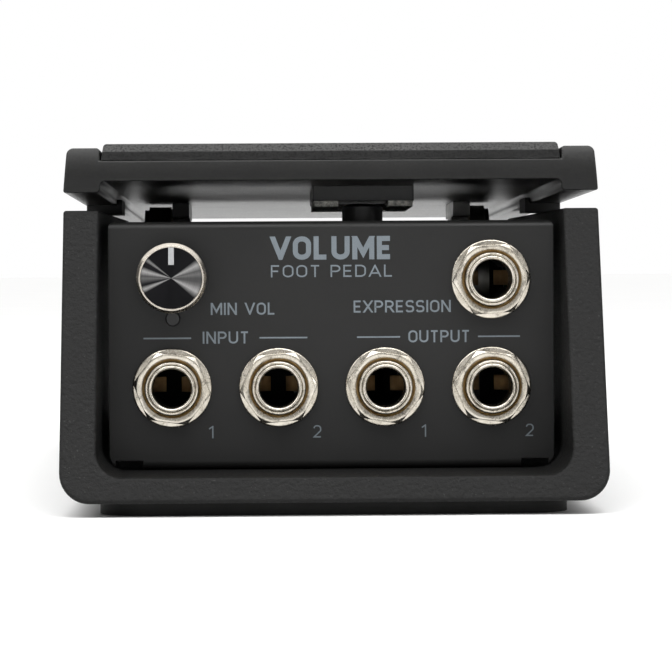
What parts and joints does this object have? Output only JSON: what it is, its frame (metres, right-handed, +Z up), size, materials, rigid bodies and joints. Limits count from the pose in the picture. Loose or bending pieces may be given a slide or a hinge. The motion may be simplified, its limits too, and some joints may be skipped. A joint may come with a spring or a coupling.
{
  "type": "volume pedal",
  "caption": "Foot volume pedal: channel base with a jack panel at the toe and a rocking treadle that drives a rack, pinion and potentiometer.",
  "frame": {"origin": "on the ground below the middle of the pedal", "axes": "+X to the right when facing the jack panel, +Y from the toe (jack) end to the heel, +Z up"},
  "size_m": [0.09, 0.2614, 0.0615],
  "materials": {
    "black_powder_coat": "black powder coated, fine texture",
    "panel_black": "satin black painted sheet steel",
    "treadle_black": "black anodised extrusion",
    "mat_rubber": "ribbed black rubber",
    "pad_rubber": "matt black rubber",
    "bumper_rubber": "soft black rubber",
    "nickel": "warm nickel plating",
    "zinc_steel": "zinc plated steel",
    "jack_plastic": "black moulded nylon",
    "contact_brass": "phosphor bronze leaf",
    "board": "green solder mask",
    "resistor": "blue film resistor",
    "pot_metal": "stamped steel can",
    "guide_plastic": "natural acetal",
    "slide_plastic": "black acetal",
    "felt": "pale pressed felt",
    "pillar_black": "black anodised",
    "pillar_grey": "plain machined",
    "bronze_bush": "sintered bronze",
    "rack_black": "black acetal rod",
    "pinion_white": "white acetal",
    "spring_steel": "blued spring steel",
    "ribbon": "grey flat cable",
    "knob_black": "black knob skirt with bright bevel",
    "knob_cap": "spun black anodised disc",
    "pointer": "pale grey inlay"
  },
  "bodies": {
    "base": {"base_frame": "black_powder_coat", "bottom_pad": "pad_rubber", "jack_panel": "panel_black", "rear_shield": "panel_black", "input_jack_1": "jack_plastic", "input_jack_1_bushing": "nickel", "input_jack_2": "jack_plastic", "input_jack_2_bushing": "nickel", "output_jack_1": "jack_plastic", "output_jack_1_bushing": "nickel", "output_jack_2": "jack_plastic", "output_jack_2_bushing": "nickel", "expression_jack": "jack_plastic", "expression_jack_bushing": "nickel", "jack_contacts": "contact_brass", "jack_nuts": "nickel", "jack_washers": "nickel", "jack_board": "board", "board_resistors": "resistor", "min_vol_pot": "jack_plastic", "min_vol_nut": "zinc_steel", "pot_bracket": "zinc_steel", "volume_pot": "pot_metal", "volume_pot_nut": "zinc_steel", "volume_pot_terminals": "contact_brass", "rewind_spring": "spring_steel", "plunger_guide": "guide_plastic", "plunger_bush": "bronze_bush", "signal_ribbon": "ribbon", "hinge_pillar_left": "pillar_black", "hinge_pillar_right": "pillar_grey", "hinge_bushes": "bronze_bush", "friction_washers": "guide_plastic", "pillar_screws": "zinc_steel", "chassis_screws": "zinc_steel", "heel_bumper_left": "bumper_rubber", "heel_bumper_right": "bumper_rubber"},
    "treadle": {"treadle_plate": "treadle_black", "treadle_mat": "mat_rubber", "hinge_lug_left": "pillar_black", "hinge_lug_right": "pillar_grey", "lug_screws": "zinc_steel", "hinge_shaft": "zinc_steel", "shaft_clips": "spring_steel", "slide_block": "slide_plastic", "slide_felt": "felt", "toe_bumper_left": "bumper_rubber", "toe_bumper_right": "bumper_rubber"},
    "plunger": {"rack_plunger": "rack_black"},
    "pinion": {"pinion_gear": "pinion_white", "volume_pot_shaft": "zinc_steel"},
    "knob": {"min_vol_knob": "knob_black", "min_vol_shaft": "zinc_steel", "min_vol_cap": "knob_cap", "min_vol_pointer": "pointer"}
  },
  "joints": [
    {"name": "treadle_pivot", "type": "hinge", "parent": "base", "child": "treadle", "pos_m": [0, 0.02, 0.046], "axis": [-1, 0, 0], "range_deg": [0, 13.5]},
    {"name": "plunger_slide", "type": "slide", "parent": "base", "child": "plunger", "axis": [0, 0, 1], "range_m": [0, 0.02327]},
    {"name": "volume_pot_spin", "type": "hinge", "parent": "base", "child": "pinion", "pos_m": [0.0062, -0.07, 0.038], "axis": [-1, 0, 0], "range_deg": [0, 277.3]},
    {"name": "min_vol_turn", "type": "hinge", "parent": "base", "child": "knob", "pos_m": [-0.0268, -0.112, 0.0389], "axis": [0, -1, 0], "range_deg": [-150, 150]}
  ],
  "couplings": [
    {"joint": "plunger_slide", "follows": "treadle_pivot", "m_per_rad": 0.0979},
    {"joint": "volume_pot_spin", "follows": "treadle_pivot", "ratio": 20.396}
  ]
}
